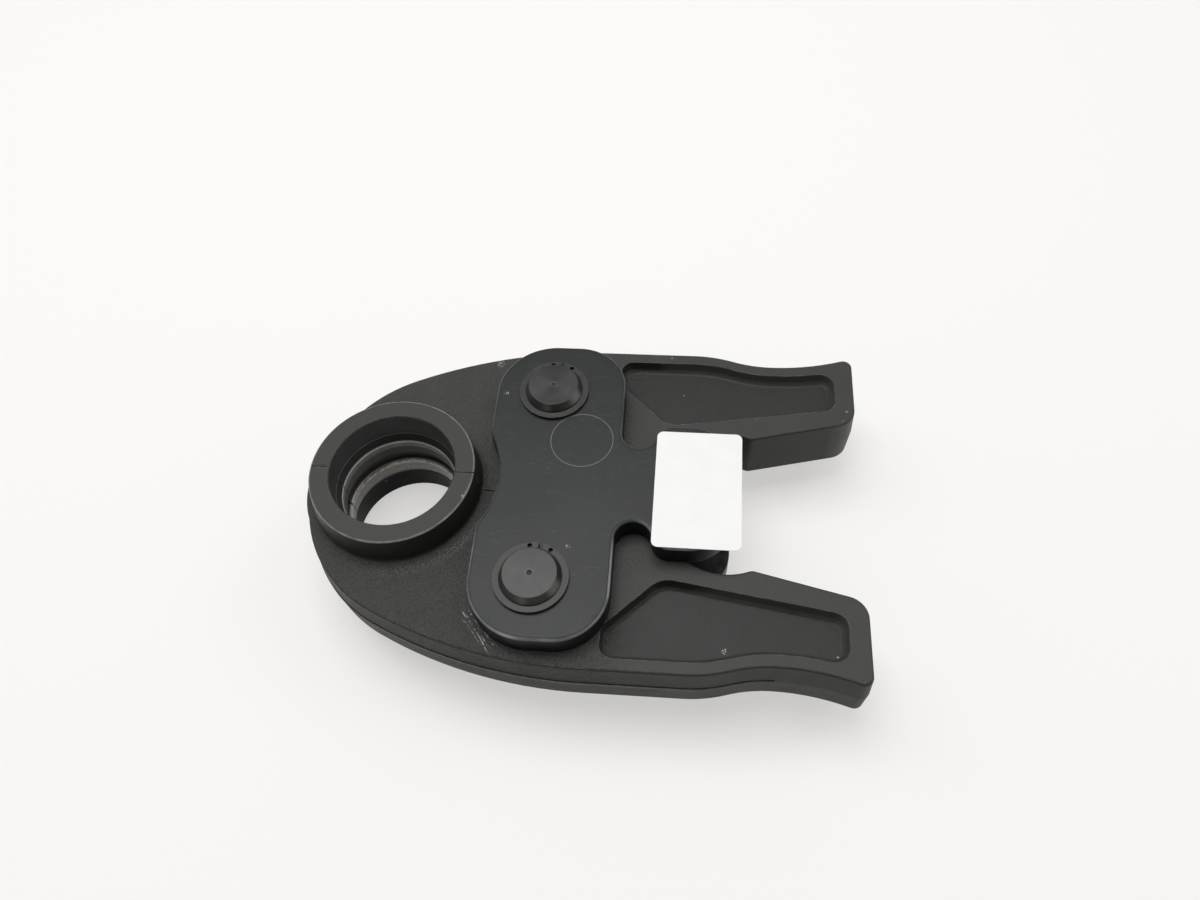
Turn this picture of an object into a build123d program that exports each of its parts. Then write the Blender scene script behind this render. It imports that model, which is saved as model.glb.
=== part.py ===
from build123d import *
from math import atan2, cos, degrees, radians, sin, sqrt, tan
import os

# Jaw for a press fitting tool: two forged levers that swing on pivot pins between two side plates.
# Millimetres. The origin is the centre of the tool pin bore on the middle plane of the jaw.
# +X points forward to the press contour, +Y to the left lever and +Z out of the top side plate.

# Main distances
contour_distance = 78.0
pivot_distance = 37.2
pivot_spread = 29.1
lever_thickness = 17.0
ring_height = 35.6
side_play = 0.1

# Forged outline of a lever, measured on its parting plane
nose_reach = 24.8
nose_inset = 8.7
nose_sweep = 64.2
arm_half_width = 49.9
arm_straight_back = 80.0
waist_run = 22.5
waist_depth = 3.4
tail_run = 23.4
tail_rise = 1.0
tail_outer_corner = 2.8
forging_draft = 3.0
forging_edge = 0.6
flash_stand = 0.15
flash_height = 1.2

# Inner edge of a lever: closing face, relief, roller hollow and roller ramp
seam_gap = 0.3
seam_edge = 0.25
relief_start_back = 42.0
hollow_radius = 16.7
hollow_back = 89.5
hollow_offset = 4.9
hollow_front_angle = 70.1
hollow_rear_angle = 24.4
ramp_angle = 13.6
ramp_crest_radius = 2.5
tail_inner_corner = 6.0

# Press ring and the contour in its bore
ring_outer_radius = 22.3
rim_radius = 17.0
ring_draft = 6.0
ring_root_radius = 1.9
ring_root_width = 2.1
ring_root_edge = 0.2
ring_edge = 0.35
ridge_radius = 15.8
groove_radius = 16.9
ridge_inner_height = 2.3
ridge_outer_height = 7.2
lead_height = 9.8
groove_flank = 0.7

# Pocket forged into both faces of each arm
pocket_depth = 3.2
pocket_draft = 14.0
pocket_rib = 3.8
pocket_front_back = 58.7
pocket_tail_rib = 5.7
pocket_front_height = 8.1
pocket_knee_back = 73.2
pocket_hollow_rib = 2.1
pocket_ramp_rib = 5.43
pocket_rear_rib = 6.1
pocket_corner = 4.0
corner_share = 0.44
pocket_knee_radius = 7.0
pocket_floor_radius = 1.5

# Side plates
plate_thickness = 7.0
eye_wall = 16.25
head_back = 20.0
head_corner = 14.0
ring_clearance_radius = 28.5
head_front_corner = 6.0
stem_half_width = 18.9
stem_tail = 13.5
stem_corner = 12.0
notch_radius = 4.8
notch_inset = 2.8
stem_shoulder_radius = 5.0
plate_edge = 0.9

# Tool pin bore
tool_pin_diameter = 14.0
tool_pin_clearance = 0.05

# Pivot pins and their retaining rings
pin_diameter = 16.0
pin_fit_clearance = 0.02
pin_running_clearance = 0.05
pin_stand_out = 3.4
pin_end_chamfer = 1.1
pin_end_chamfer_height = 2.0
pin_centre_radius = 0.8
pin_centre_depth = 0.6
retaining_thickness = 1.0
retaining_groove_depth = 0.4
retaining_width = 2.05
retaining_groove_play = 0.05
retaining_gap = 1.2
retaining_gap_angle = -101.0
retaining_eye_radius = 0.62
retaining_eye_angle = 18.5
retaining_eye_offset = 1.13

# Closing spring between the arms
spring_back = 58.0
spring_wire = 1.6
spring_mean_diameter = 8.4
spring_turns = 8.0
spring_seat_clearance = 0.35
spring_seat_y = 14.8
spring_end_play = 0.05

# Worked out from the sizes above
pivot_x = pivot_distance
half_thickness = lever_thickness / 2
half_ring = ring_height / 2
plate_inner_z = half_thickness + side_play
plate_outer_z = plate_inner_z + plate_thickness
pin_end_z = plate_outer_z + pin_stand_out
pin_radius = pin_diameter / 2
closing_y = seam_gap / 2
tool_pin_radius = tool_pin_diameter / 2 + tool_pin_clearance
waist_half_width = arm_half_width - waist_depth
tail_half_width = arm_half_width + tail_rise
nose_radius = arm_half_width - nose_inset
nose_centre_x = contour_distance + nose_reach - nose_radius
waist_back = arm_straight_back + waist_run
tail_back = waist_back + tail_run
tail_x = contour_distance - tail_back
ring_root = ring_outer_radius + (half_ring - half_thickness) * tan(radians(ring_draft))
ring_root_reach = ring_root + ring_root_width
overrun = 4.0
blank_reach = 400.0
pick_tolerance = 0.01
contour_axis = Axis((contour_distance, 0, 0), (0, 0, 1))

os.makedirs("parts", exist_ok=True)


def behind(distance):
    # X of a point that lies this far behind the axis of the press contour
    return contour_distance - distance


# Left lever
# The blank is drafted from the parting plane to both faces. Its outline runs past the closing
# plane, where the finished lever is cut straight.
flank_turn = 90 - nose_sweep
flank_rise = arm_half_width - nose_radius * sin(radians(nose_sweep))
flank_radius = flank_rise / (1 - cos(radians(flank_turn)))
overrun_angle = degrees(atan2(overrun, sqrt(nose_radius**2 - overrun**2)))
waist_middle = (
    behind((arm_straight_back + waist_back) / 2),
    (arm_half_width + waist_half_width) / 2,
)

# The roller hollow and the ramp behind it
hollow_start = (
    behind(hollow_back) + hollow_radius * sin(radians(hollow_front_angle)),
    hollow_offset + hollow_radius * cos(radians(hollow_front_angle)),
)
hollow_top = (behind(hollow_back), hollow_offset + hollow_radius)
ramp_start = (
    behind(hollow_back) - hollow_radius * sin(radians(hollow_rear_angle)),
    hollow_offset + hollow_radius * cos(radians(hollow_rear_angle)),
)
ramp_slope = tan(radians(ramp_angle))
ramp_end = (tail_x - overrun, ramp_start[1] + (ramp_start[0] - tail_x + overrun) * ramp_slope)

# Corners of the pocket, each a rib away from the edge of the lever beside it
pocket_high = arm_half_width - pocket_rib
pocket_rear_back = tail_back - pocket_tail_rib
pocket_front_low = pocket_high - pocket_front_height
pocket_knee_low = hollow_offset + hollow_radius + pocket_hollow_rib
pocket_ramp_run = ramp_start[0] - behind(pocket_rear_back)
pocket_rear_low = ramp_start[1] + pocket_ramp_run * ramp_slope + pocket_ramp_rib
pocket_rear_high = tail_half_width - pocket_rear_rib
pocket_rear_corner = min(pocket_corner, corner_share * (pocket_rear_high - pocket_rear_low))
pocket_front_corner = corner_share * pocket_front_height

with BuildPart() as jaw_lever_left:
    with BuildSketch(Plane.XY) as blank_outline:
        with BuildLine():
            nose = CenterArc(
                (nose_centre_x, 0), nose_radius, -overrun_angle, overrun_angle + nose_sweep
            )
            flank = JernArc(nose @ 1, nose % 1, flank_radius, flank_turn)
            arm = Line(flank @ 1, (behind(arm_straight_back), arm_half_width))
            waist_entry = TangentArc(arm @ 1, waist_middle, tangent=arm % 1)
            waist = TangentArc(
                waist_middle, (behind(waist_back), waist_half_width), tangent=waist_entry % 1
            )
            tail = TangentArc(waist @ 1, (tail_x, tail_half_width), tangent=waist % 1)
            Polyline(tail @ 1, (tail_x, -overrun), nose @ 0)
        make_face()
        tail_corner = blank_outline.vertices().sort_by_distance((tail_x, tail_half_width))[0]
        fillet(tail_corner, radius=tail_outer_corner)
    extrude(amount=half_thickness, both=True, taper=forging_draft)

    # Trimmed flash along the parting plane, as far as the waist
    with BuildSketch(Plane.XY):
        add(blank_outline.sketch)
        offset(amount=flash_stand)
        with Locations((behind(waist_back), 0)):
            Rectangle(
                blank_reach, blank_reach, align=(Align.MAX, Align.CENTER), mode=Mode.SUBTRACT
            )
    extrude(amount=flash_height / 2, both=True)

    # Relief, roller hollow and roller ramp on the inner side
    with BuildSketch(Plane.XY.offset(-half_thickness - overrun)) as inner_edge:
        with BuildLine():
            relief = Line(
                (behind(relief_start_back), -2 * overrun), (behind(relief_start_back), closing_y)
            )
            Line(relief @ 1, hollow_start)
            ThreePointArc(hollow_start, hollow_top, ramp_start)
            Polyline(ramp_start, ramp_end, (ramp_end[0], -2 * overrun), relief @ 0)
        make_face()
        ramp_crest = inner_edge.vertices().sort_by_distance(ramp_start)[0]
        fillet(ramp_crest, radius=ramp_crest_radius)
    extrude(amount=lever_thickness + 2 * overrun, mode=Mode.SUBTRACT)

    tip = (tail_x, ramp_end[1] - overrun * ramp_slope, 0)
    upright_edges = jaw_lever_left.edges().filter_by(
        lambda edge: abs((edge % 0.5).Z) > cos(radians(2 * forging_draft))
    )
    fillet(upright_edges.sort_by_distance(tip)[:2], radius=tail_inner_corner)

    top_face = jaw_lever_left.faces().sort_by(Axis.Z)[-1]
    bottom_face = jaw_lever_left.faces().sort_by(Axis.Z)[0]
    face_edges = top_face.edges() + bottom_face.edges()
    fillet(face_edges.filter_by_position(Axis.Y, 0, arm_half_width + overrun), radius=forging_edge)

    # Half of the press ring, standing above and below the arm
    with BuildSketch(Plane.XZ) as ring_section:
        with BuildLine():
            Polyline(
                (behind(-rim_radius + overrun), -half_ring),
                (behind(-ring_outer_radius), -half_ring),
                (behind(-ring_root), -half_thickness),
                (behind(-ring_root_reach), -half_thickness),
                (behind(-ring_root_reach), half_thickness),
                (behind(-ring_root), half_thickness),
                (behind(-ring_outer_radius), half_ring),
                (behind(-rim_radius + overrun), half_ring),
                close=True,
            )
        make_face()
        roots = ring_section.vertices().filter_by_position(
            Axis.X, behind(-ring_root) - pick_tolerance, behind(-ring_root) + pick_tolerance
        )
        fillet(roots, radius=ring_root_radius)
        rim_x = behind(-ring_outer_radius)
        rims = ring_section.vertices().filter_by_position(
            Axis.X, rim_x - pick_tolerance, rim_x + pick_tolerance
        )
        chamfer(rims, length=ring_edge)
        reach_x = behind(-ring_root_reach)
        root_ends = ring_section.vertices().filter_by_position(
            Axis.X, reach_x - pick_tolerance, reach_x + pick_tolerance
        )
        chamfer(root_ends, length=ring_root_edge)
    revolve(axis=contour_axis)

    # Bore of the ring: two press ridges with a groove between them and a lead on each side
    with BuildSketch(Plane.XZ) as bore_section:
        with BuildLine():
            Polyline(
                (contour_distance, -half_ring - overrun),
                (behind(-rim_radius - ring_edge - overrun), -half_ring - overrun),
                (behind(-rim_radius), -half_ring + ring_edge),
                (behind(-rim_radius), -lead_height),
                (behind(-ridge_radius), -ridge_outer_height),
                (behind(-ridge_radius), -ridge_inner_height),
                (behind(-groove_radius), -ridge_inner_height + groove_flank),
                (behind(-groove_radius), ridge_inner_height - groove_flank),
                (behind(-ridge_radius), ridge_inner_height),
                (behind(-ridge_radius), ridge_outer_height),
                (behind(-rim_radius), lead_height),
                (behind(-rim_radius), half_ring - ring_edge),
                (behind(-rim_radius - ring_edge - overrun), half_ring + overrun),
                (contour_distance, half_ring + overrun),
                close=True,
            )
        make_face()
    revolve(axis=contour_axis, mode=Mode.SUBTRACT)

    # Closing face
    with BuildSketch(Plane.XY.offset(-ring_height)) as closing_cut:
        with Locations((behind(0), closing_y)):
            Rectangle(blank_reach, blank_reach, align=(Align.CENTER, Align.MAX))
    extrude(amount=2 * ring_height, mode=Mode.SUBTRACT)
    seam_edges = jaw_lever_left.edges().filter_by(Axis.X).filter_by_position(
        Axis.Y, closing_y - pick_tolerance, closing_y + pick_tolerance
    )
    rim_seams = seam_edges.group_by(Axis.Z)[0] + seam_edges.group_by(Axis.Z)[-1]
    chamfer(rim_seams, length=seam_edge)

    # Pockets in both faces of the arm
    for face_plane in (
        Plane.XY.offset(half_thickness),
        Plane(origin=(0, 0, -half_thickness), x_dir=(1, 0, 0), z_dir=(0, 0, -1)),
    ):
        turn = 1 if face_plane.z_dir.Z > 0 else -1
        with BuildSketch(face_plane) as pocket:
            with BuildLine():
                pocket_side = Line(
                    (behind(pocket_front_back), turn * pocket_high),
                    (behind(arm_straight_back), turn * pocket_high),
                )
                pocket_entry = TangentArc(
                    pocket_side @ 1,
                    (waist_middle[0], turn * (waist_middle[1] - pocket_rib)),
                    tangent=pocket_side % 1,
                )
                pocket_waist = TangentArc(
                    pocket_entry @ 1,
                    (behind(waist_back), turn * (waist_half_width - pocket_rib)),
                    tangent=pocket_entry % 1,
                )
                pocket_tail = TangentArc(
                    pocket_waist @ 1,
                    (behind(pocket_rear_back), turn * pocket_rear_high),
                    tangent=pocket_waist % 1,
                )
                Polyline(
                    pocket_tail @ 1,
                    (behind(pocket_rear_back), turn * pocket_rear_low),
                    (behind(pocket_knee_back), turn * pocket_knee_low),
                    (behind(pocket_front_back), turn * pocket_front_low),
                    pocket_side @ 0,
                )
            make_face()
            for corner_back, corner_offset, corner_radius in (
                (pocket_rear_back, pocket_rear_high, pocket_rear_corner),
                (pocket_rear_back, pocket_rear_low, pocket_rear_corner),
                (pocket_knee_back, pocket_knee_low, pocket_knee_radius),
                (pocket_front_back, pocket_front_low, pocket_front_corner),
                (pocket_front_back, pocket_high, pocket_front_corner),
            ):
                corner_point = (behind(corner_back), turn * corner_offset)
                fillet(pocket.vertices().sort_by_distance(corner_point)[0], radius=corner_radius)
        extrude(amount=-pocket_depth, taper=pocket_draft, mode=Mode.SUBTRACT)
        floor_z = turn * (half_thickness - pocket_depth)
        floor_edges = jaw_lever_left.edges().filter_by_position(
            Axis.Z, floor_z - pick_tolerance, floor_z + pick_tolerance
        )
        fillet(floor_edges, radius=pocket_floor_radius)

    # Eye for the pivot pin
    with Locations((pivot_x, pivot_spread, 0)):
        Hole(radius=pin_radius + pin_running_clearance, depth=ring_height)

    # Seat for the closing spring
    spring_plane = Plane(origin=(behind(spring_back), spring_seat_y, 0), x_dir=(1, 0, 0), z_dir=(0, -1, 0))
    with BuildSketch(spring_plane):
        Circle((spring_mean_diameter + spring_wire) / 2 + spring_seat_clearance)
    extrude(amount=spring_seat_y, mode=Mode.SUBTRACT)

jaw_lever_left.part.label = "jaw_lever_left"
export_step(jaw_lever_left.part, "parts/jaw_lever_left.step")

# Right lever
with BuildPart() as jaw_lever_right:
    mirror(jaw_lever_left.part, about=Plane.XZ)
jaw_lever_right.part.label = "jaw_lever_right"
export_step(jaw_lever_right.part, "parts/jaw_lever_right.step")

# Top side plate: a head with both pivot holes and a stem with the tool pin bore
head_front_x = pivot_x + eye_wall
head_rear_x = pivot_x - head_back
head_half_width = pivot_spread + eye_wall
notch_offset = stem_half_width - notch_inset

# The ring's clearance cuts the front of the head between its two eyes
hollow_end_y = sqrt(max(ring_clearance_radius**2 - (contour_distance - head_front_x) ** 2, 0))
hollow_end_radius = min(head_front_corner, corner_share * (pivot_spread - hollow_end_y))

with BuildPart() as side_plate_top:
    with BuildSketch(Plane.XY.offset(plate_inner_z)) as plate_outline:
        with Locations(((head_front_x + head_rear_x) / 2, 0)):
            Rectangle(eye_wall + head_back, 2 * head_half_width)
        head_vertices = plate_outline.vertices()
        fillet(head_vertices.group_by(Axis.X)[-1], radius=eye_wall - pick_tolerance)
        fillet(plate_outline.vertices().group_by(Axis.X)[0], radius=head_corner)
        with Locations((head_rear_x + overrun, 0)):
            Rectangle(
                head_rear_x + overrun + stem_tail,
                2 * stem_half_width,
                align=(Align.MAX, Align.CENTER),
            )
        stem_ends = plate_outline.vertices().group_by(Axis.X)[0]
        fillet(stem_ends, radius=stem_corner)
        for side in (1, -1):
            with Locations((head_rear_x - notch_radius, side * notch_offset)):
                Circle(notch_radius, mode=Mode.SUBTRACT)
            with Locations((head_rear_x - notch_radius, side * notch_offset)):
                Rectangle(
                    notch_radius,
                    head_half_width,
                    align=(Align.MIN, Align.MIN if side > 0 else Align.MAX),
                    mode=Mode.SUBTRACT,
                )
            shoulder = plate_outline.vertices().sort_by_distance(
                (head_rear_x - 2 * notch_radius, side * stem_half_width)
            )[0]
            fillet(shoulder, radius=stem_shoulder_radius)
        with Locations((contour_distance, 0)):
            Circle(ring_clearance_radius, mode=Mode.SUBTRACT)
        hollow_ends = plate_outline.vertices().group_by(Axis.X)[-1].filter_by_position(
            Axis.Y, -hollow_end_y - pick_tolerance, hollow_end_y + pick_tolerance
        )
        if hollow_ends:
            fillet(hollow_ends, radius=hollow_end_radius)
    extrude(amount=plate_thickness)
    outer_face = side_plate_top.faces().sort_by(Axis.Z)[-1]
    fillet(outer_face.edges(), radius=plate_edge)
    with Locations((pivot_x, pivot_spread, plate_outer_z), (pivot_x, -pivot_spread, plate_outer_z)):
        Hole(radius=pin_radius + pin_fit_clearance, depth=plate_thickness)
    with Locations((0, 0, plate_outer_z)):
        Hole(radius=tool_pin_radius, depth=plate_thickness)
side_plate_top.part.label = "side_plate_top"
export_step(side_plate_top.part, "parts/side_plate_top.step")

# Bottom side plate
with BuildPart() as side_plate_bottom:
    mirror(side_plate_top.part, about=Plane.XY)
side_plate_bottom.part.label = "side_plate_bottom"
export_step(side_plate_bottom.part, "parts/side_plate_bottom.step")

# Pivot pins, each grooved near both ends for a retaining ring
groove_bottom_radius = pin_radius - retaining_groove_depth
groove_top_z = plate_outer_z + retaining_thickness + 2 * retaining_groove_play

for side, pivot_y in (("left", pivot_spread), ("right", -pivot_spread)):
    pin_plane = Plane(origin=(pivot_x, pivot_y, 0), x_dir=(1, 0, 0), z_dir=(0, -1, 0))
    with BuildPart() as pivot_pin:
        with BuildSketch(pin_plane):
            with BuildLine():
                Polyline(
                    (0, 0),
                    (pin_radius, 0),
                    (pin_radius, plate_outer_z),
                    (groove_bottom_radius, plate_outer_z),
                    (groove_bottom_radius, groove_top_z),
                    (pin_radius, groove_top_z),
                    (pin_radius, pin_end_z - pin_end_chamfer_height),
                    (pin_radius - pin_end_chamfer, pin_end_z),
                    (pin_centre_radius, pin_end_z),
                    (0, pin_end_z - pin_centre_depth),
                    close=True,
                )
            make_face()
        revolve(axis=Axis((pivot_x, pivot_y, 0), (0, 0, 1)))
        mirror(about=Plane.XY)
    pivot_pin.part.label = f"pivot_pin_{side}"
    export_step(pivot_pin.part, f"parts/pivot_pin_{side}.step")

# Retaining rings, open between their two eyes
retaining_inner = groove_bottom_radius + retaining_groove_play
retaining_outer = retaining_inner + retaining_width
eye_circle = retaining_inner + retaining_eye_offset

for side, pivot_y in (("left", pivot_spread), ("right", -pivot_spread)):
    for level, facing in (("top", 1), ("bottom", -1)):
        seat_z = facing * (plate_outer_z + retaining_groove_play)
        ring_plane = Plane(
            origin=(pivot_x, pivot_y, seat_z), x_dir=(1, 0, 0), z_dir=(0, 0, facing)
        ).rotated((0, 0, facing * retaining_gap_angle))
        with BuildPart() as retaining_ring:
            with BuildSketch(ring_plane):
                Circle(retaining_outer)
                Circle(retaining_inner, mode=Mode.SUBTRACT)
                Rectangle(
                    2 * retaining_outer,
                    retaining_gap,
                    align=(Align.MIN, Align.CENTER),
                    mode=Mode.SUBTRACT,
                )
                for eye_turn in (retaining_eye_angle, -retaining_eye_angle):
                    with PolarLocations(eye_circle, 1, start_angle=eye_turn):
                        Circle(retaining_eye_radius, mode=Mode.SUBTRACT)
            extrude(amount=retaining_thickness)
        retaining_ring.part.label = f"retaining_ring_{side}_{level}"
        export_step(retaining_ring.part, f"parts/retaining_ring_{side}_{level}.step")

# Closing spring, a compression coil with its ends ground flat
spring_length = 2 * (spring_seat_y - spring_end_play)
spring_pitch = spring_length / spring_turns
coil_start_y = -spring_length / 2 - spring_wire

with BuildPart() as closing_spring:
    with BuildLine():
        coil = Helix(
            pitch=spring_pitch,
            height=spring_length + 2 * spring_wire,
            radius=spring_mean_diameter / 2,
            center=(behind(spring_back), coil_start_y, 0),
            direction=(0, 1, 0),
        )
    with BuildSketch(Plane(origin=coil @ 0, z_dir=coil % 0)):
        Circle(spring_wire / 2)
    sweep(path=coil, is_frenet=True)
    with Locations((behind(spring_back), 0, 0)):
        Box(2 * spring_mean_diameter, spring_length, 2 * spring_mean_diameter, mode=Mode.INTERSECT)
closing_spring.part.label = "closing_spring"
export_step(closing_spring.part, "parts/closing_spring.step")
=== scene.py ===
import math

import bpy
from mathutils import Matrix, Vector


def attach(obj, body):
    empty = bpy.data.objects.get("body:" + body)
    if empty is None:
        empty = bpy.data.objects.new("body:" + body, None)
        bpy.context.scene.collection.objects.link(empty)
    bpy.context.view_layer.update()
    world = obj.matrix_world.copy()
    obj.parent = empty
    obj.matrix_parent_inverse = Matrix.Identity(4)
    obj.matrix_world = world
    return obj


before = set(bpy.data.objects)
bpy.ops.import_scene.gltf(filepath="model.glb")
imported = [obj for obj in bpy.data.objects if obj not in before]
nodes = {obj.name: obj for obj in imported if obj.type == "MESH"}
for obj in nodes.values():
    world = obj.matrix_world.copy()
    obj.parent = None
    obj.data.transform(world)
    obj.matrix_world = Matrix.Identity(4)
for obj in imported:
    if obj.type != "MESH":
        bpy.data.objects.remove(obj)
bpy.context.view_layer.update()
print("frame: packed jaw loaded,", len(nodes), "nodes")


# Camera where the photograph was taken, looking down on the jaw from the left lever's side
cameraView = {
    "place": (0.000814, 0.13712, 0.241609),
    "turn": (33.2739, 2.6352, -175.5062),   # degrees about X, Y and Z
    "lens": 30.0,                           # mm
    "sensor": 36.0,                         # mm wide
    "nearest": 0.01,                        # m, and the farthest that it sees
    "farthest": 20.0,
}


def makeCamera():
    bpy.ops.object.camera_add(
        location=cameraView["place"],
        rotation=[math.radians(angle) for angle in cameraView["turn"]],
    )
    camera = bpy.context.object
    camera.name = "photoCamera"
    camera.data.lens = cameraView["lens"]
    camera.data.sensor_width = cameraView["sensor"]
    camera.data.clip_start = cameraView["nearest"]
    camera.data.clip_end = cameraView["farthest"]
    bpy.context.scene.camera = camera


makeCamera()
print("camera: set at the photograph's view")


millimetres = 1000.0   # in a metre


# The nodes of one material. All its lengths are in millimetres of the jaw's own frame.
class Pattern:
    def __init__(self, name, constants):
        self.material = bpy.data.materials.new(name)
        self.material.use_nodes = True
        self.tree = self.material.node_tree
        self.shader = self.tree.nodes["Principled BSDF"]
        for socketName, value in constants.items():
            self.shader.inputs[socketName].default_value = value
        coordinates = self.put("ShaderNodeTexCoord")
        self.place = self.scaled(coordinates.outputs["Object"], millimetres)
        self.x, self.y, self.z = self.parts(self.place)
        self.height = self.calc("ABSOLUTE", self.z)   # above or below the middle plane
        self.side = self.calc("ABSOLUTE", self.y)     # to either side of the jaw's centre line
        facing = self.parts(coordinates.outputs["Normal"])
        self.facingY = facing[1]
        self.flatness = self.calc("ABSOLUTE", facing[2])

    def put(self, kind, inputs=None, **settings):
        node = self.tree.nodes.new(kind)
        for name, value in settings.items():
            setattr(node, name, value)
        for key, value in (inputs or {}).items():
            self.feed(node.inputs[key], value)
        return node

    def feed(self, socket, value):
        if isinstance(value, bpy.types.NodeSocket):
            self.tree.links.new(value, socket)
        else:
            socket.default_value = value

    def parts(self, vector):
        return self.put("ShaderNodeSeparateXYZ", {0: vector}).outputs

    def scaled(self, vector, value):   # also a colour made lighter or darker by a number
        return self.put("ShaderNodeVectorMath", {0: vector, "Scale": value}, operation="SCALE").outputs[0]

    def calc(self, operation, a, b=0.0, c=0.0):
        node = self.put("ShaderNodeMath", operation=operation)
        for socket, value in zip(node.inputs, (a, b, c)):
            self.feed(socket, value)
        return node.outputs[0]

    def times(self, *values):
        total = values[0]
        for value in values[1:]:
            total = self.calc("MULTIPLY", total, value)
        return total

    def most(self, *values):
        total = values[0]
        for value in values[1:]:
            total = self.calc("MAXIMUM", total, value)
        return total

    def flip(self, value):
        return self.calc("SUBTRACT", 1.0, value)

    def rise(self, value, low, high):   # 0 at low, 1 at high, smooth between
        limits = {"Value": value, "From Min": low, "From Max": high}
        return self.put("ShaderNodeMapRange", limits, interpolation_type="SMOOTHSTEP").outputs[0]

    def between(self, value, low, high, soft):   # 1 from low to high, with soft ends
        return self.times(
            self.rise(value, low - soft, low + soft), self.rise(value, high + soft, high - soft)
        )

    def within(self, *pairs):   # 1 where every value lies in its limits, as rise or between takes them
        shares = [
            self.between(value, *limits) if len(limits) == 3 else self.rise(value, *limits)
            for value, limits in pairs
        ]
        return self.times(*shares)

    def along(self, value, low, high):   # share 0 to 1 turned into a number from low to high
        return self.calc("MULTIPLY_ADD", value, high - low, low)

    def mix(self, share, first, second):
        node = self.put("ShaderNodeMix", data_type="RGBA")
        for index, value in ((0, share), (6, first), (7, second)):
            if isinstance(value, tuple):
                value = (*value, 1.0)
            self.feed(node.inputs[index], value)
        return node.outputs[2]

    def mapped(self, move=(0, 0, 0), turn=0.0, stretch=(1, 1, 1), vector=None):   # turn in degrees about Z
        node = self.put("ShaderNodeMapping", {
            "Vector": vector or self.place, "Location": move,
            "Rotation": (0.0, 0.0, math.radians(turn)), "Scale": stretch,
        })
        return node.outputs[0]

    def noise(self, size, detail=2.0, roughness=0.5, distortion=0.0, vector=None):
        node = self.put("ShaderNodeTexNoise", {
            "Vector": vector or self.place, "Scale": 1.0 / size, "Detail": detail,
            "Roughness": roughness, "Distortion": distortion,
        })
        return node.outputs[0]

    def specks(self, spacing, size, share, seed):   # dots of dust, each in one cell of a share of the cells
        cells = self.put("ShaderNodeTexVoronoi", {
            "Vector": self.mapped(move=(seed, 1.7 * seed, 0.6 * seed)), "Scale": 1.0 / spacing,
        })
        reach = size / spacing
        dot = self.rise(cells.outputs["Distance"], reach, 0.5 * reach)
        chance = self.put("ShaderNodeSeparateColor", {0: cells.outputs["Color"]}).outputs[0]
        return self.times(dot, self.calc("LESS_THAN", chance, share))

    def dusting(self, kinds):   # each kind is the specks' spacing, size, share and seed
        return self.most(*[self.specks(*kind) for kind in kinds])

    def scratches(self, turn, length, width, fineness, seed):   # thin broken lines that run one way
        stretch = (1.0 / length, 1.0 / width, 1.0 / width)
        line = self.noise(1.0, detail=0.0, vector=self.mapped((seed, seed, seed), turn, stretch))
        offset = self.calc("ABSOLUTE", self.calc("SUBTRACT", line, 0.5))
        gaps = self.noise(0.6 * length, detail=1.0, vector=self.mapped((2 * seed, seed, 0)))
        return self.times(self.rise(offset, fineness, 0.3 * fineness), self.rise(gaps, 0.52, 0.6))

    def lying(self):   # 1 on faces that lie level, 0 on walls
        return self.rise(self.flatness, 0.35, 0.85)

    def distance(self, x, y):   # from an upright axis
        span = self.put("ShaderNodeCombineXYZ", {
            0: self.calc("SUBTRACT", self.x, x), 1: self.calc("SUBTRACT", self.y, y),
        })
        return self.put("ShaderNodeVectorMath", {0: span.outputs[0]}, operation="LENGTH").outputs["Value"]

    def spot(self, point, radius):   # soft round spot about a point
        gap = self.put("ShaderNodeVectorMath", {0: self.place, 1: point}, operation="DISTANCE")
        return self.rise(gap.outputs["Value"], radius, 0.4 * radius)

    def flecks(self, marks, grain):   # grainy pale marks, each a point and its radius
        spots = self.most(*[self.spot(point, radius) for point, radius in marks])
        return self.times(spots, self.rise(self.noise(grain), 0.52, 0.6))

    def rounded(self, radius):   # normal as if sharp edges were rounded by radius
        return self.put("ShaderNodeBevel", {"Radius": radius / millimetres}, samples=6).outputs[0]

    def edges(self, roundedNormal, low, high):   # 1 near sharp edges
        geometry = self.put("ShaderNodeNewGeometry")
        dot = self.put("ShaderNodeVectorMath", {
            0: roundedNormal, 1: geometry.outputs["Normal"],
        }, operation="DOT_PRODUCT")
        return self.rise(self.flip(dot.outputs["Value"]), low, high)

    def finish(self, colour, roughness, relief, depth, normal=None):
        self.feed(self.shader.inputs["Base Color"], colour)
        self.feed(self.shader.inputs["Roughness"], roughness)
        bump = self.put("ShaderNodeBump", {
            "Strength": 1.0, "Distance": depth / millimetres, "Height": relief,
        })
        if normal is not None:
            self.feed(bump.inputs["Normal"], normal)
        self.feed(self.shader.inputs["Normal"], bump.outputs[0])
        return self.material


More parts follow.
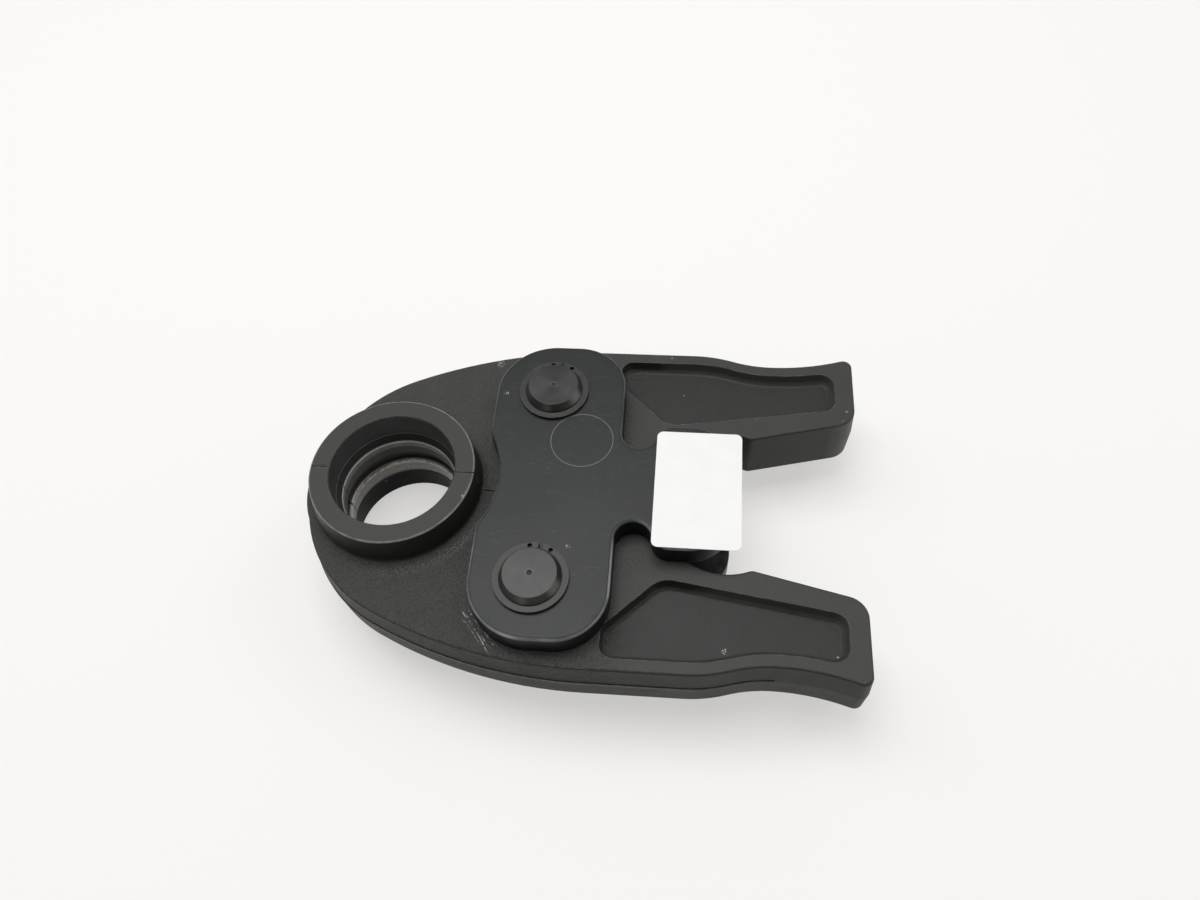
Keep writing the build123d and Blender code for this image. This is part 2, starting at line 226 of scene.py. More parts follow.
# Forged levers: phosphated skin, pebbled where the hammer dies left it, turned ring faces and bore
leverFinish = {
    "skin": (0.0395, 0.0402, 0.0372),
    "turned": (0.0400, 0.0408, 0.0372),
    "boreWall": (0.036, 0.036, 0.035),
    "bareMetal": (0.25, 0.245, 0.225),
    # bare lips, painted near white as a painted highlight
    "bareLipHighlight": (0.90, 0.89, 0.85),
    "wornEdgeAndHighlight": (0.30, 0.30, 0.275),
    "rust": (0.20, 0.165, 0.115),
    "dust": (0.55, 0.55, 0.52),
    "outerWallPaintedShade": 0.18,    # painted shade: share of the skin's colour left on the outer walls, which the lamps light less than the faces
    "innerWallPaintedShade": 0.60,    # and on the walls between the arms
    "ringWallPaintedShade": 0.42,     # and on the wall of the press ring
    "pocketWallPaintedLight": 1.5,    # painted light: the pocket walls, which lie in shadow, are made lighter than the skin
    "pocketFloorPaintedShade": 0.56,       # painted shade: share of the skin's colour left on the recessed pocket floors
    "undersidePaintedShade": 0.05,    # painted shade: the bore's colour left below the lower ridge
    "blotchShade": (0.78, 1.34),
    "blotchSize": 9.0,         # mm
    "grainShade": (-0.7, 0.7),
    "grainSize": 0.5,
    "armGrain": 0.35,          # share of the grain that the smoother arms keep
    "armPebbles": 0.12,        # and of the pebbles
    "ringPebbles": 0.2,        # and what the wall of the ring keeps
    "pebbleSize": 0.7,
    "pebbleDepth": 0.46,
    "wideSize": 2.6,           # mm, of the wider pebbles
    "wideShare": 0.45,
    "turningShade": (0.5, 1.5),
    "turningShare": 0.15,      # relief of the turned bore
    "roughness": (0.42, 0.58),
    "polish": 0.2,             # taken off the roughness of bare ridges
    "ridgeMetal": 0.55,
    "stainSize": 1.6,
    "ridgeBare": (0.10, 0.42), # how bare the press ridges and their lips are
    "lowerRidgeBare": 2.0,     # times as much on the lower ridge
    "upperLipBareGlint": (0.6, 1.0),
    "lowerLipBareGlint": (0.1, 0.7),
    "leadInBareGlint": 0.22,
    "edgeRadius": 0.35,
    "patchSize": 2.5,
    "cornerWear": 0.85,
    "ringWearAndHighlight": (0.1, 1.1),
    "flashWearAndLight": (0.045, 0.36),
    "rubbedStart": (5.7, 64.2, 0.0),   # mm, brings the streaks' start by the top plate's corner to zero
    "rubbedTurn": -128.5,              # degrees, turns the streaks along X
    "rubbedLength": 13.0,
    "rubbedWidth": 1.7,
    "paintedSparkleShare": 0.3,
    "dustShare": 0.8,
    "markShare": 0.7,                  # of all pale marks and the painted sparkle
    "dustKinds": [(5.5, 0.22, 0.16, 11.0), (3.1, 0.12, 0.10, 23.0)],
    "markGrain": 0.45,
    "marks": [
        ((55.4, -43.8, 8.3), 1.6), ((9.2, -49.2, 8.0), 0.9), ((4.8, -48.2, 8.5), 0.5),
        ((-11.9, 41.5, 5.3), 1.1), ((-39.6, 41.4, 5.3), 0.45), ((9.7, -29.4, 8.5), 0.4),
        ((54.5, 1.8, 17.8), 0.6), ((57.4, 7.5, 17.8), 0.6), ((-45.2, -30.9, 8.5), 0.5),
    ],
}

# Where the levers' faces lie, in mm. Two numbers are where a mask is 0 and where it is 1, and three
# are the limits of a band and the softness of its ends. A front is a limit along X.
leverPlaces = {
    "contourAxis": (78.0, 0.0),   # its x and y
    "ringFaceRadius": (22.9, 22.3),
    "ringFaceHeight": (17.1, 17.5),
    "ringWallRadius": (24.6, 23.6),
    "ringWallHeight": (8.6, 9.6),
    "ringEdgeRadius": (21.95, 22.45, 0.1),
    "ringEdgeHeight": (17.2, 17.5),
    "splitSide": (0.32, 0.22),
    "boreRadius": (17.35, 17.05),
    "boreHeight": (17.75, 17.45),
    "leadIn": (9.7, 9.95, 0.08),
    "ridgeRadius": (16.35, 16.1),
    "ridgeHeight": (8.0, 7.5),
    # the ridge's bare metal is kept off the groove and off the lower half of the upper ridge, which stay
    # dark as painted shade
    "groove": (0.0, 5.0, 0.3),
    "lipRadius": (17.0, 16.8),
    "upperLip": (6.9, 7.5, 0.12),
    "lowerLip": (-3.8, -2.1, 0.2),
    "lowerRidge": (0.0, -1.0),
    "underside": (-7.4, -8.2),
    "rustSide": (4.0, -6.0),
    "armFront": (26.0, 6.0),
    "outerSide": (43.0, 45.5),
    "outerFront": (18.0, 26.0),
    "inward": (-6.0, -16.0),      # of a wall, the y it faces times the y where it stands
    "pocketFloorHeight": (6.6, 6.0),
    "pocketFloorFlatness": (0.7, 0.9),
    "pocketSide": (24.5, 26.5),
    "pocketOuterSide": (43.5, 41.5),
    "pocketFront": (12.0, 4.0),
    "flashHeight": (0.0, 0.6, 0.1),
    "flashSide": (30.0, 40.0),
    "flashFront": (-22.0, 20.0),
    "paintedSparkleRadius": (24.6, 27.0, 1.1),
    "paintedSparkleHeight": (8.2, 10.4, 0.5),
    "paintedSparkleSide": (2.0, 16.0),
    "paintedSparkleFront": (92.0, 62.0),
    "topFace": (8.2, 8.4),
}


def leverZones(steel):
    places = leverPlaces
    radius = steel.distance(*places["contourAxis"])
    bore = steel.within((radius, places["boreRadius"]), (steel.height, places["boreHeight"]))
    lip = steel.times(bore, steel.rise(radius, *places["lipRadius"]))
    zones = {
        "radius": radius,
        "bore": bore,
        "lying": steel.lying(),
        "arm": steel.rise(steel.x, *places["armFront"]),
        "pocketFloor": steel.within(
            (steel.height, places["pocketFloorHeight"]), (steel.flatness, places["pocketFloorFlatness"])
        ),
        "ridge": steel.times(
            bore, steel.within((radius, places["ridgeRadius"]), (steel.height, places["ridgeHeight"])),
            steel.flip(steel.between(steel.z, *places["groove"])),
        ),
        "upperLip": steel.times(lip, steel.between(steel.z, *places["upperLip"])),
        "lowerLip": steel.times(lip, steel.between(steel.z, *places["lowerLip"])),
        "leadIn": steel.times(bore, steel.between(steel.z, *places["leadIn"])),
        "underside": steel.times(bore, steel.rise(steel.z, *places["underside"])),
    }
    for part in ("ringFace", "ringWall", "ringEdge"):
        limits = places[part + "Radius"], places[part + "Height"]
        zones[part] = steel.within((radius, limits[0]), (steel.height, limits[1]))
    return zones


# Painted shade and light on the levers' walls: the outer walls, the walls between the arms and the ring's
# wall keep a darker share of the skin's colour, and the pocket walls a lighter one
def leverPaintedWallShade(steel, zones):
    places = leverPlaces
    inward = steel.rise(steel.times(steel.facingY, steel.y), *places["inward"])
    outer = steel.most(
        steel.rise(steel.side, *places["outerSide"]), steel.rise(steel.x, *places["outerFront"])
    )
    outer = steel.times(outer, steel.flip(inward))
    pocketWall = steel.times(
        steel.within((steel.side, places["pocketSide"]), (steel.x, places["pocketFront"])),
        steel.most(inward, steel.rise(steel.side, *places["pocketOuterSide"])),
    )
    return steel.most(
        steel.along(outer, leverFinish["innerWallPaintedShade"], leverFinish["outerWallPaintedShade"]),
        steel.times(zones["ringWall"], leverFinish["ringWallPaintedShade"]),
        steel.times(pocketWall, leverFinish["pocketWallPaintedLight"]),
    )


def leverSkin(steel, zones, blotches, turning):
    grain = steel.noise(leverFinish["grainSize"], detail=3.0, roughness=0.6)
    grain = steel.times(
        steel.along(grain, *leverFinish["grainShade"]),
        steel.along(zones["arm"], 1.0, leverFinish["armGrain"]),
    )
    shade = steel.calc("ADD", steel.along(blotches, *leverFinish["blotchShade"]), grain)
    # painted shade on the walls, then on the pocket floors
    paintedWallShare = steel.times(steel.flip(zones["lying"]), leverPaintedWallShade(steel, zones))
    shade = steel.times(shade, steel.calc("ADD", zones["lying"], paintedWallShare))
    shade = steel.times(shade, steel.along(zones["pocketFloor"], 1.0, leverFinish["pocketFloorPaintedShade"]))
    skin = steel.scaled(leverFinish["skin"], shade)
    turned = steel.scaled(leverFinish["turned"], steel.along(blotches, 0.85, 1.15))
    boreWall = steel.scaled(leverFinish["boreWall"], steel.along(turning, *leverFinish["turningShade"]))
    return steel.mix(zones["bore"], steel.mix(zones["ringFace"], skin, turned), boreWall)


# Press ridges in the bore, bare where they meet the sleeve. Their lips and the lead-in are bare metal
# painted near white, a painted highlight; the second result is how much of it lies there.
def ridgeWear(steel, zones, colour):
    places = leverPlaces
    stain = steel.noise(leverFinish["stainSize"], detail=4.0, roughness=0.7)
    lowerRidge = steel.rise(steel.z, *places["lowerRidge"])
    ridgeBare = steel.times(
        steel.along(stain, *leverFinish["ridgeBare"]),
        steel.along(lowerRidge, 1.0, leverFinish["lowerRidgeBare"]),
    )
    colour = steel.mix(steel.times(zones["ridge"], ridgeBare), colour, leverFinish["bareMetal"])
    bareGlint = steel.most(
        steel.times(zones["upperLip"], steel.along(stain, *leverFinish["upperLipBareGlint"])),
        steel.times(zones["lowerLip"], steel.along(stain, *leverFinish["lowerLipBareGlint"])),
        steel.times(zones["leadIn"], leverFinish["leadInBareGlint"]),
    )
    colour = steel.mix(bareGlint, colour, leverFinish["bareLipHighlight"])
    rust = steel.times(
        zones["lowerLip"], steel.rise(stain, 0.42, 0.6), steel.rise(steel.y, *places["rustSide"])
    )
    colour = steel.mix(rust, colour, leverFinish["rust"])
    # painted shade in the bore below the lower ridge
    return steel.scaled(colour, steel.along(zones["underside"], 1.0, leverFinish["undersidePaintedShade"])), bareGlint


def leverEdgesAndHighlights(steel, zones, roundedNormal):   # 1 where edges are rubbed, with painted highlight on the ring's edge and split, and painted light lifting the flash line's shadow
    places = leverPlaces
    patches = steel.noise(leverFinish["patchSize"], detail=3.0)
    corners = steel.times(
        steel.edges(roundedNormal, 0.012, 0.14), steel.flip(zones["pocketFloor"]),
        steel.rise(patches, 0.3, 0.75), leverFinish["cornerWear"],
    )
    split = steel.times(zones["ringFace"], steel.rise(steel.side, *places["splitSide"]))
    ring = steel.most(zones["ringEdge"], split)
    ring = steel.times(ring, steel.along(patches, *leverFinish["ringWearAndHighlight"]))
    flash = steel.times(
        steel.within(
            (steel.height, places["flashHeight"]), (steel.side, places["flashSide"]),
            (steel.x, places["flashFront"]),
        ),
        steel.flip(zones["lying"]), steel.along(patches, *leverFinish["flashWearAndLight"]),
    )
    return steel.most(flash, corners, ring)


def leverMarksAndSparkle(steel, zones):   # 1 where the skin is scratched or dusty, and where a painted highlight sparkles on the ring's fillet
    places = leverPlaces
    fromCorner = steel.mapped(leverFinish["rubbedStart"], leverFinish["rubbedTurn"])
    drawn = steel.mapped(stretch=(0.22, 2.6, 0.5), vector=fromCorner)
    streaks = steel.noise(1.0, detail=1.0, distortion=0.4, vector=drawn)
    run, sway = steel.parts(fromCorner)[:2]
    rubbed = steel.times(
        steel.rise(streaks, 0.53, 0.66), steel.rise(steel.noise(0.9), 0.38, 0.58),
        steel.between(run, 0.0, leverFinish["rubbedLength"], 1.2),
        steel.between(sway, -leverFinish["rubbedWidth"], leverFinish["rubbedWidth"], 0.9),
        steel.rise(steel.z, *places["topFace"]),
    )
    paintedSparkle = steel.within(
        (zones["radius"], places["paintedSparkleRadius"]), (steel.z, places["paintedSparkleHeight"]),
        (steel.y, places["paintedSparkleSide"]), (steel.x, places["paintedSparkleFront"]),
    )
    paintedSparkle = steel.times(
        paintedSparkle, steel.rise(steel.noise(0.42, detail=3.0), 0.42, 0.68), leverFinish["paintedSparkleShare"]
    )
    dust = steel.times(steel.dusting(leverFinish["dustKinds"]), leverFinish["dustShare"])
    marks = steel.flecks(leverFinish["marks"], leverFinish["markGrain"])
    return steel.times(steel.most(rubbed, paintedSparkle, marks, dust), leverFinish["markShare"])


def forgedLever():
    steel = Pattern("phosphatedForging", {"Metallic": 0.0, "Specular IOR Level": 0.28})
    zones = leverZones(steel)
    blotches = steel.noise(leverFinish["blotchSize"], detail=3.0, roughness=0.6)
    turning = steel.noise(1.0, roughness=0.6, vector=steel.mapped(stretch=(0.02, 0.02, 3.5)))
    soft = steel.rounded(leverFinish["edgeRadius"])
    colour = leverSkin(steel, zones, blotches, turning)
    colour, bareGlint = ridgeWear(steel, zones, colour)
    colour = steel.mix(leverEdgesAndHighlights(steel, zones, soft), colour, leverFinish["wornEdgeAndHighlight"])
    # pale dust, scratches and flecks, with the painted sparkle on the ring's fillet
    colour = steel.mix(leverMarksAndSparkle(steel, zones), colour, leverFinish["dust"])

    polish = steel.times(steel.most(bareGlint, zones["ridge"]), leverFinish["polish"])
    roughness = steel.calc("SUBTRACT", steel.along(blotches, *leverFinish["roughness"]), polish)
    metal = steel.times(zones["ridge"], steel.flip(bareGlint), leverFinish["ridgeMetal"])
    steel.feed(steel.shader.inputs["Metallic"], steel.most(metal, zones["underside"]))

    fine = steel.noise(leverFinish["pebbleSize"], roughness=0.55)
    wide = steel.times(steel.noise(leverFinish["wideSize"]), leverFinish["wideShare"])
    pebbles = steel.times(
        steel.calc("ADD", fine, wide), steel.flip(steel.most(zones["ringFace"], zones["bore"])),
        steel.along(zones["ringWall"], 1.0, leverFinish["ringPebbles"]),
        steel.along(zones["arm"], 1.0, leverFinish["armPebbles"]),
    )
    relief = steel.calc("ADD", pebbles, steel.times(turning, zones["bore"], leverFinish["turningShare"]))
    return steel.finish(colour, roughness, relief, leverFinish["pebbleDepth"], soft)


# Side plates: satin black oxide with rims polished by handling and brightened by a painted highlight, walls
# darkened by painted shade, and a printed ring for a test seal
plateFinish = {
    "skin": (0.0100, 0.0115, 0.0118),
    "cloudShade": (0.86, 1.14),
    "cloudSize": 22.0,                  # mm
    "grainShade": (-0.08, 0.08),
    "grainSize": 0.35,
    "grainDepth": 0.012,
    "wallPaintedShade": 0.45,                  # painted shade: the skin's colour left on the walls
    "roughness": (0.36, 0.48),
    # rubbed rim, lit up by a painted highlight that is brightest on the near side
    "rimAndHighlight": (0.34, 0.355, 0.36),
    "rimHeight": (14.75, 15.5, 0.09),   # mm, the limits of its band and the softness of its ends
    "rimSide": (-5.0, 34.0),            # mm, from where the rim's painted highlight is faintest to where it is strongest
    "farRimHighlight": 0.25,                     # share of the painted highlight left on the far side
    "rimPatches": (0.4, 1.0),
    "rimWearAndHighlight": 0.8,
    "cornerWear": 0.2,
    "print": (0.27, 0.27, 0.25),
    "printCentre": (28.0, -13.1),       # mm
    "printRadius": 8.5,
    "printWidth": 0.19,
    "printHeight": (15.3, 15.5),
    "printShare": (0.3, 0.7),
    "dust": (0.55, 0.56, 0.56),
    "dustKinds": [(6.5, 0.24, 0.14, 4.0), (3.6, 0.11, 0.08, 31.0)],
    "scratchShare": 0.1,
    "scratchRelief": -0.3,
    "markShare": 0.6,                   # of all pale marks
    "markGrain": 0.4,
    "marks": [((50.6, -28.0, 15.6), 1.0), ((28.7, 19.5, 15.6), 0.9)],
    "nick": (0.004, 0.004, 0.004),
    "nickPlace": (20.5, 38.3, 15.4),
    "nickRadius": 0.9,
    "wornStem": (-12.0, 8.0, -9.0),
    "wornRadius": 7.0,
    "wornShare": 0.14,
    "edgeRadius": 0.45,
}


def plateWearAndHighlight(steel, roundedNormal):   # 1 where the corners and the lower stem's end are rubbed, and on the rim, rubbed and brightened by a painted highlight
    patches = steel.along(steel.rise(steel.noise(9.0), 0.35, 0.65), *plateFinish["rimPatches"])
    reach = steel.along(steel.rise(steel.y, *plateFinish["rimSide"]), plateFinish["farRimHighlight"], 1.0)
    rimAndHighlight = steel.times(
        steel.between(steel.height, *plateFinish["rimHeight"]), patches, reach, plateFinish["rimWearAndHighlight"]
    )
    corners = steel.times(steel.edges(roundedNormal, 0.02, 0.2), plateFinish["cornerWear"])
    stem = steel.times(
        steel.spot(plateFinish["wornStem"], plateFinish["wornRadius"]),
        steel.rise(steel.noise(3.0, detail=3.0), 0.3, 0.75), plateFinish["wornShare"],
    )
    return steel.most(rimAndHighlight, corners, stem)


def platePrint(steel):
    offset = steel.calc("SUBTRACT", steel.distance(*plateFinish["printCentre"]), plateFinish["printRadius"])
    width = plateFinish["printWidth"]
    line = steel.rise(steel.calc("ABSOLUTE", offset), 0.75 * width, 0.35 * width)
    onTop = steel.rise(steel.z, *plateFinish["printHeight"])
    return steel.times(line, onTop, steel.along(steel.noise(0.5), *plateFinish["printShare"]))


def platedSteel():
    steel = Pattern("satinBlackOxide", {"Metallic": 0.0, "Specular IOR Level": 0.34})
    cloud = steel.noise(plateFinish["cloudSize"])
    grain = steel.noise(plateFinish["grainSize"], roughness=0.6)
    shade = steel.calc(
        "ADD", steel.along(cloud, *plateFinish["cloudShade"]),
        steel.along(grain, *plateFinish["grainShade"]),
    )
    # painted shade on the walls
    shade = steel.times(shade, steel.along(steel.lying(), plateFinish["wallPaintedShade"], 1.0))
    soft = steel.rounded(plateFinish["edgeRadius"])
    colour = steel.mix(plateWearAndHighlight(steel, soft), steel.scaled(plateFinish["skin"], shade), plateFinish["rimAndHighlight"])
    colour = steel.mix(platePrint(steel), colour, plateFinish["print"])

    scratches = steel.most(
        steel.scratches(turn=12, length=7.0, width=0.35, fineness=0.016, seed=5.0),
        steel.scratches(turn=-20, length=5.0, width=0.3, fineness=0.012, seed=15.0),
    )
    pale = steel.most(
        steel.times(scratches, plateFinish["scratchShare"]),
        steel.flecks(plateFinish["marks"], plateFinish["markGrain"]),
        steel.dusting(plateFinish["dustKinds"]),
    )
    colour = steel.mix(steel.times(pale, plateFinish["markShare"]), colour, plateFinish["dust"])
    nick = steel.spot(plateFinish["nickPlace"], plateFinish["nickRadius"])
    colour = steel.mix(nick, colour, plateFinish["nick"])

    roughness = steel.along(cloud, *plateFinish["roughness"])
    relief = steel.calc("ADD", grain, steel.times(scratches, plateFinish["scratchRelief"]))
    return steel.finish(colour, roughness, relief, plateFinish["grainDepth"], soft)


# Pivot pins: turned ends with the tool marks running round
pinFinish = {
    "skin": (0.032, 0.033, 0.0312),
    # edge: colour of the rubbed edges, and of the painted highlights on the chamfer
    "edge": (0.26, 0.26, 0.25),
    "dust": (0.5, 0.5, 0.48),
    "dustShare": 0.4,
    "roughness": (0.30, 0.42),
    "cloudShade": (0.5, 1.5),
    "cloudSize": 4.5,                # mm
    "turningShade": (-0.12, 0.12),
    "rayPaintedSheen": (0.88, 1.12),
    "edgeWear": 0.5,
    "chamferPaintedHighlight": 0.6,
    "axis": (37.2, 29.1),            # mm, x and distance to either side
    "dimple": (1.3, 0.8),            # mm, the radii where the painted light in its centre ends and begins
    "dimplePaintedLight": 2.2,
    "chamfer": (0.35, 0.62, 0.05),   # limits of the flatness of the pin's slanted rim, and their softness
    "edgeRadius": 0.3,
    "turningDepth": 0.012,
}


def turnedPin(name, side):
    steel = Pattern(name, {"Metallic": 0.45, "Specular IOR Level": 0.5, "Anisotropic": 0.45})
    centreX, centreY = pinFinish["axis"][0], side * pinFinish["axis"][1]
    radius = steel.distance(centreX, centreY)
    turns = steel.put("ShaderNodeCombineXYZ", {0: steel.times(radius, 5.5)})
    turning = steel.noise(1.0, roughness=0.7, vector=turns.outputs[0])
    cloud = steel.noise(pinFinish["cloudSize"], detail=3.0, roughness=0.6)
    offset = steel.put("ShaderNodeCombineXYZ", {
        0: steel.calc("SUBTRACT", steel.x, centreX), 1: steel.calc("SUBTRACT", steel.y, centreY),
    })
    spoke = steel.put("ShaderNodeVectorMath", {0: offset.outputs[0]}, operation="NORMALIZE").outputs[0]
    # rays: lighter and darker sectors from the centre, a painted sheen
    rays = steel.rise(steel.noise(0.7, detail=3.0, roughness=0.6, vector=spoke), 0.3, 0.7)
    shade = steel.calc(
        "ADD", steel.along(cloud, *pinFinish["cloudShade"]),
        steel.along(turning, *pinFinish["turningShade"]),
    )
    shade = steel.times(
        shade, steel.along(rays, *pinFinish["rayPaintedSheen"]),
        steel.along(steel.rise(radius, *pinFinish["dimple"]), 1.0, pinFinish["dimplePaintedLight"]),
    )
    colour = steel.scaled(pinFinish["skin"], shade)

    soft = steel.rounded(pinFinish["edgeRadius"])
    patches = steel.along(steel.noise(1.5), 0.3, 1.0)
    edge = steel.times(steel.edges(soft, 0.03, 0.25), patches, pinFinish["edgeWear"])
    colour = steel.mix(edge, colour, pinFinish["edge"])
    # painted highlights in patches on the slanted rim
    patches = steel.rise(steel.noise(1.3, detail=1.0, vector=spoke), 0.48, 0.66)
    chamfer = steel.between(steel.flatness, *pinFinish["chamfer"])
    colour = steel.mix(steel.times(chamfer, patches, pinFinish["chamferPaintedHighlight"]), colour, pinFinish["edge"])
    dust = steel.specks(spacing=3.5, size=0.16, share=0.12, seed=7.0 + side)
    colour = steel.mix(steel.times(dust, pinFinish["dustShare"]), colour, pinFinish["dust"])

    # The tangent runs round the pin, so that the gloss spreads in rays from the centre
    around = steel.put("ShaderNodeCombineXYZ", {
        0: steel.calc("SUBTRACT", centreY, steel.y), 1: steel.calc("SUBTRACT", steel.x, centreX),
    })
    tangent = steel.put(
        "ShaderNodeVectorTransform", {0: around.outputs[0]},
        vector_type="VECTOR", convert_from="OBJECT", convert_to="WORLD",
    )
    steel.feed(steel.shader.inputs["Tangent"], tangent.outputs[0])
    roughness = steel.along(cloud, *pinFinish["roughness"])
    return steel.finish(colour, roughness, turning, pinFinish["turningDepth"], soft)


# Retaining rings: phosphated spring steel, rubbed at the corners
retainerFinish = {
    "skin": (0.032, 0.032, 0.030),
    "edge": (0.30, 0.30, 0.28),
    "dust": (0.6, 0.6, 0.58),
    "dustShare": 0.6,
    "roughness": (0.35, 0.5),
    "cloudShade": (0.6, 1.4),
    "cloudSize": 2.5,     # mm
    "grainSize": 0.4,
    "grainDepth": 0.02,
    "edgeRadius": 0.18,
    "edgeWear": 0.6,
}


def springRing():
    steel = Pattern("phosphatedSpringSteel", {"Metallic": 0.35, "Specular IOR Level": 0.45})
    cloud = steel.noise(retainerFinish["cloudSize"], detail=4.0, roughness=0.65)
    colour = steel.scaled(retainerFinish["skin"], steel.along(cloud, *retainerFinish["cloudShade"]))
    soft = steel.rounded(retainerFinish["edgeRadius"])
    patches = steel.rise(steel.noise(1.2, detail=3.0), 0.35, 0.6)
    edge = steel.times(steel.edges(soft, 0.02, 0.2), patches, retainerFinish["edgeWear"])
    colour = steel.mix(edge, colour, retainerFinish["edge"])
    dust = steel.specks(spacing=2.4, size=0.15, share=0.15, seed=19.0)
    colour = steel.mix(steel.times(dust, retainerFinish["dustShare"]), colour, retainerFinish["dust"])
    roughness = steel.along(cloud, *retainerFinish["roughness"])
    grain = steel.noise(retainerFinish["grainSize"])
    return steel.finish(colour, roughness, grain, retainerFinish["grainDepth"], soft)


# Closing spring: drawn wire with a film of oil
springFinish = {
    "wire": (0.22, 0.215, 0.205),
    "film": (0.05, 0.046, 0.040),
    "filmShare": (0.45, 0.9),
    "filmSize": 1.8,        # mm
    "roughness": (0.3, 0.5),
    "drawingDepth": 0.01,   # mm
}


def drawnWire():
    steel = Pattern("drawnSpringWire", {"Metallic": 0.85, "Specular IOR Level": 0.5})
    film = steel.noise(springFinish["filmSize"], detail=4.0, roughness=0.6)
    oily = steel.along(steel.rise(film, 0.35, 0.65), *springFinish["filmShare"])
    colour = steel.mix(oily, springFinish["wire"], springFinish["film"])
    streaks = steel.noise(1.0, vector=steel.mapped(stretch=(6.0, 0.5, 6.0)))
    roughness = steel.along(film, *springFinish["roughness"])
    return steel.finish(colour, roughness, streaks, springFinish["drawingDepth"])


coats = {
    "jaw_lever": forgedLever(),
    "side_plate": platedSteel(),
    "pivot_pin_left": turnedPin("turnedPinLeft", 1),
    "pivot_pin_right": turnedPin("turnedPinRight", -1),
    "retaining_ring": springRing(),
    "closing_spring": drawnWire(),
}
for nodeName, node in nodes.items():
    for coatName, coat in coats.items():
        if nodeName.startswith(coatName):
            node.data.materials.clear()
            node.data.materials.append(coat)
print("materials: every CAD node has its finish")


def settle(piece):   # puts an object's place, turn and size into its mesh
    bpy.ops.object.select_all(action="DESELECT")
    piece.select_set(True)
    bpy.context.view_layer.objects.active = piece
    bpy.ops.object.transform_apply(location=True, rotation=True, scale=True)
    return piece


# Blank paper label on the stem of the top plate, reaching a little past its end. Lengths in metres.
label = {
    "centre": (-0.00385, 0.00090),
    "size": (0.0229, 0.0354),
    "turn": -0.3,             # degrees
    "corner": 0.0017,
    "cornerSteps": 8,
    "thickness": 0.00011,
    "bottom": 0.01561,        # just on the plate
    "paper": (0.90, 0.90, 0.89),
    "shade": (0.80, 0.80, 0.78),
    "shadeShare": 0.25,
    "roughness": (0.42, 0.52),
    "cloudSize": 8.0,         # mm, and the two below
    "fibreSize": 0.5,
    "fibreDepth": 0.01,
}


def makeLabel():
    bpy.ops.object.select_all(action="DESELECT")
    bpy.ops.mesh.primitive_plane_add(
        size=1.0, location=(*label["centre"], label["bottom"]), rotation=(0, 0, math.radians(label["turn"]))
    )
    piece = bpy.context.object
    piece.name = "paper_label"
    piece.scale = (*label["size"], 1.0)
    settle(piece)
    bpy.ops.object.mode_set(mode="EDIT")
    bpy.ops.mesh.select_all(action="SELECT")
    bpy.ops.mesh.bevel(offset=label["corner"], segments=label["cornerSteps"], affect="VERTICES")
    bpy.ops.mesh.select_all(action="SELECT")
    bpy.ops.mesh.extrude_region_move(TRANSFORM_OT_translate={"value": (0, 0, label["thickness"])})
    bpy.ops.mesh.select_all(action="SELECT")
    bpy.ops.mesh.normals_make_consistent(inside=False)
    bpy.ops.object.mode_set(mode="OBJECT")
    return piece


def labelPaper():
    paper = Pattern("coatedPaper", {"Metallic": 0.0, "Specular IOR Level": 0.4})
    fibres = paper.noise(label["fibreSize"], detail=4.0, roughness=0.7)
    cloud = paper.rise(paper.noise(label["cloudSize"]), 0.3, 0.7)
    colour = paper.mix(paper.times(cloud, label["shadeShare"]), label["paper"], label["shade"])
    return paper.finish(colour, paper.along(fibres, *label["roughness"]), fibres, label["fibreDepth"])


paperLabel = makeLabel()
paperLabel.data.materials.append(labelPaper())
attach(paperLabel, "side_plates")
print("label: paper label placed on the stem")


# Pale floor under the lower pin ends, a soft key light overhead and two dim ceiling panels. In metres.
studio = {
    "floorHeight": -0.01901,
    "floorSize": 6.0,
    "floorColour": (0.945, 0.930, 0.910),
    "floorRoughness": 0.8,
    "floorSpecular": 0.15,
    "floorWhite": (0.975, 0.960, 0.940),
    "floorLift": 0.54,              # share of plain white in the floor as the camera and the metal see it
    "roomColour": (1.0, 0.995, 0.985),
    "roomHorizon": 0.95,            # strength of the room light near the floor
    "roomZenith": 0.22,             # and from the zenith height up
    "zenithHeight": 0.6,            # of a direction's z
    "roomBack": 0.25,               # share of it left behind the camera, where the photographer stands
    "backEdge": (0.55, 0.85),       # of a direction's y, where the photographer begins and is full
    "keyLight": {"place": (0.14, -0.20, 1.04), "size": 0.66, "power": 7.2},
    "panelLeft": {"place": (0.72, -0.34, 0.84), "size": 0.50, "power": 1.6},
    "panelRight": {"place": (-0.62, -0.40, 0.86), "size": 0.50, "power": 1.9},
    "aim": (0.02, 0.0, 0.0),
}


def addMath(tree, operation, first, second):   # first is a socket, second a socket or a number
    node = tree.nodes.new("ShaderNodeMath")
    node.operation = operation
    tree.links.new(first, node.inputs[0])
    if isinstance(second, bpy.types.NodeSocket):
        tree.links.new(second, node.inputs[1])
    else:
        node.inputs[1].default_value = second
    return node.outputs[0]


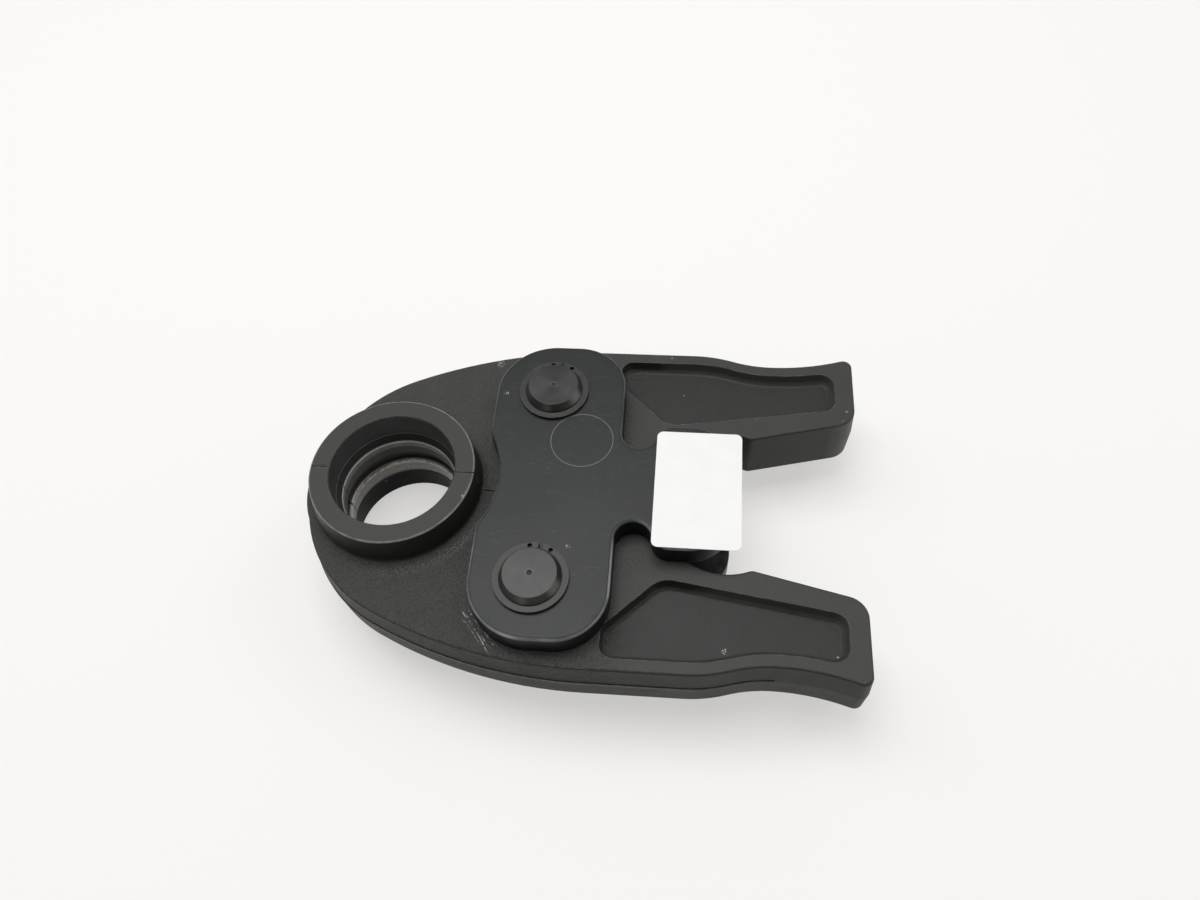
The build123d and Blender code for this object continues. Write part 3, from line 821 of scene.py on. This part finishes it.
def paleBoard():
    sheet = bpy.data.materials.new("paleBoard")
    sheet.use_nodes = True
    tree = sheet.node_tree
    board = tree.nodes["Principled BSDF"]
    board.inputs["Base Color"].default_value = (*studio["floorColour"], 1.0)
    board.inputs["Roughness"].default_value = studio["floorRoughness"]
    board.inputs["Specular IOR Level"].default_value = studio["floorSpecular"]
    white = tree.nodes.new("ShaderNodeEmission")
    white.inputs["Color"].default_value = (*studio["floorWhite"], 1.0)
    rays = tree.nodes.new("ShaderNodeLightPath").outputs
    seen = rays["Is Camera Ray"]
    for otherRay in ("Is Glossy Ray", "Is Transmission Ray"):
        seen = addMath(tree, "MAXIMUM", seen, rays[otherRay])
    blend = tree.nodes.new("ShaderNodeMixShader")
    tree.links.new(addMath(tree, "MULTIPLY", seen, studio["floorLift"]), blend.inputs[0])
    tree.links.new(board.outputs[0], blend.inputs[1])
    tree.links.new(white.outputs[0], blend.inputs[2])
    tree.links.new(blend.outputs[0], tree.nodes["Material Output"].inputs["Surface"])
    return sheet


def makeFloor():
    bpy.ops.object.select_all(action="DESELECT")
    bpy.ops.mesh.primitive_plane_add(size=studio["floorSize"], location=(0, 0, studio["floorHeight"]))
    floor = settle(bpy.context.object)
    floor.name = "studio_floor"
    floor.data.materials.append(paleBoard())


def makeSoftBox(name):
    box = studio[name]
    bpy.ops.object.light_add(type="AREA", location=box["place"])
    lamp = bpy.context.object
    lamp.name = name
    lamp.data.shape = "SQUARE"
    lamp.data.size = box["size"]
    lamp.data.energy = box["power"]
    away = Vector(box["place"]) - Vector(studio["aim"])
    lamp.rotation_euler = away.to_track_quat("Z", "Y").to_euler()


def addRange(tree, value, low, high, first, last, curve="LINEAR"):   # first at low, last at high
    node = tree.nodes.new("ShaderNodeMapRange")
    node.interpolation_type = curve
    limits = {"From Min": low, "From Max": high, "To Min": first, "To Max": last}
    for name, limit in limits.items():
        node.inputs[name].default_value = limit
    tree.links.new(value, node.inputs[0])
    return node.outputs[0]


def makeRoom():
    world = bpy.data.worlds.new("studioRoom")
    bpy.context.scene.world = world
    world.use_nodes = True
    tree = world.node_tree
    room = tree.nodes["Background"]
    room.inputs["Color"].default_value = (*studio["roomColour"], 1.0)
    direction = tree.nodes.new("ShaderNodeTexCoord")
    parts = tree.nodes.new("ShaderNodeSeparateXYZ")
    tree.links.new(direction.outputs["Generated"], parts.inputs[0])
    climb = addRange(
        tree, parts.outputs[2], 0.0, studio["zenithHeight"], studio["roomHorizon"], studio["roomZenith"],
        "SMOOTHSTEP",
    )
    person = addRange(tree, parts.outputs[1], *studio["backEdge"], 1.0, studio["roomBack"])
    tree.links.new(addMath(tree, "MULTIPLY", climb, person), room.inputs["Strength"])


makeFloor()
for lampName in ("keyLight", "panelLeft", "panelRight"):
    makeSoftBox(lampName)
makeRoom()
bpy.context.scene.view_settings.view_transform = "Standard"
print("studio: floor, lamps and room light made")
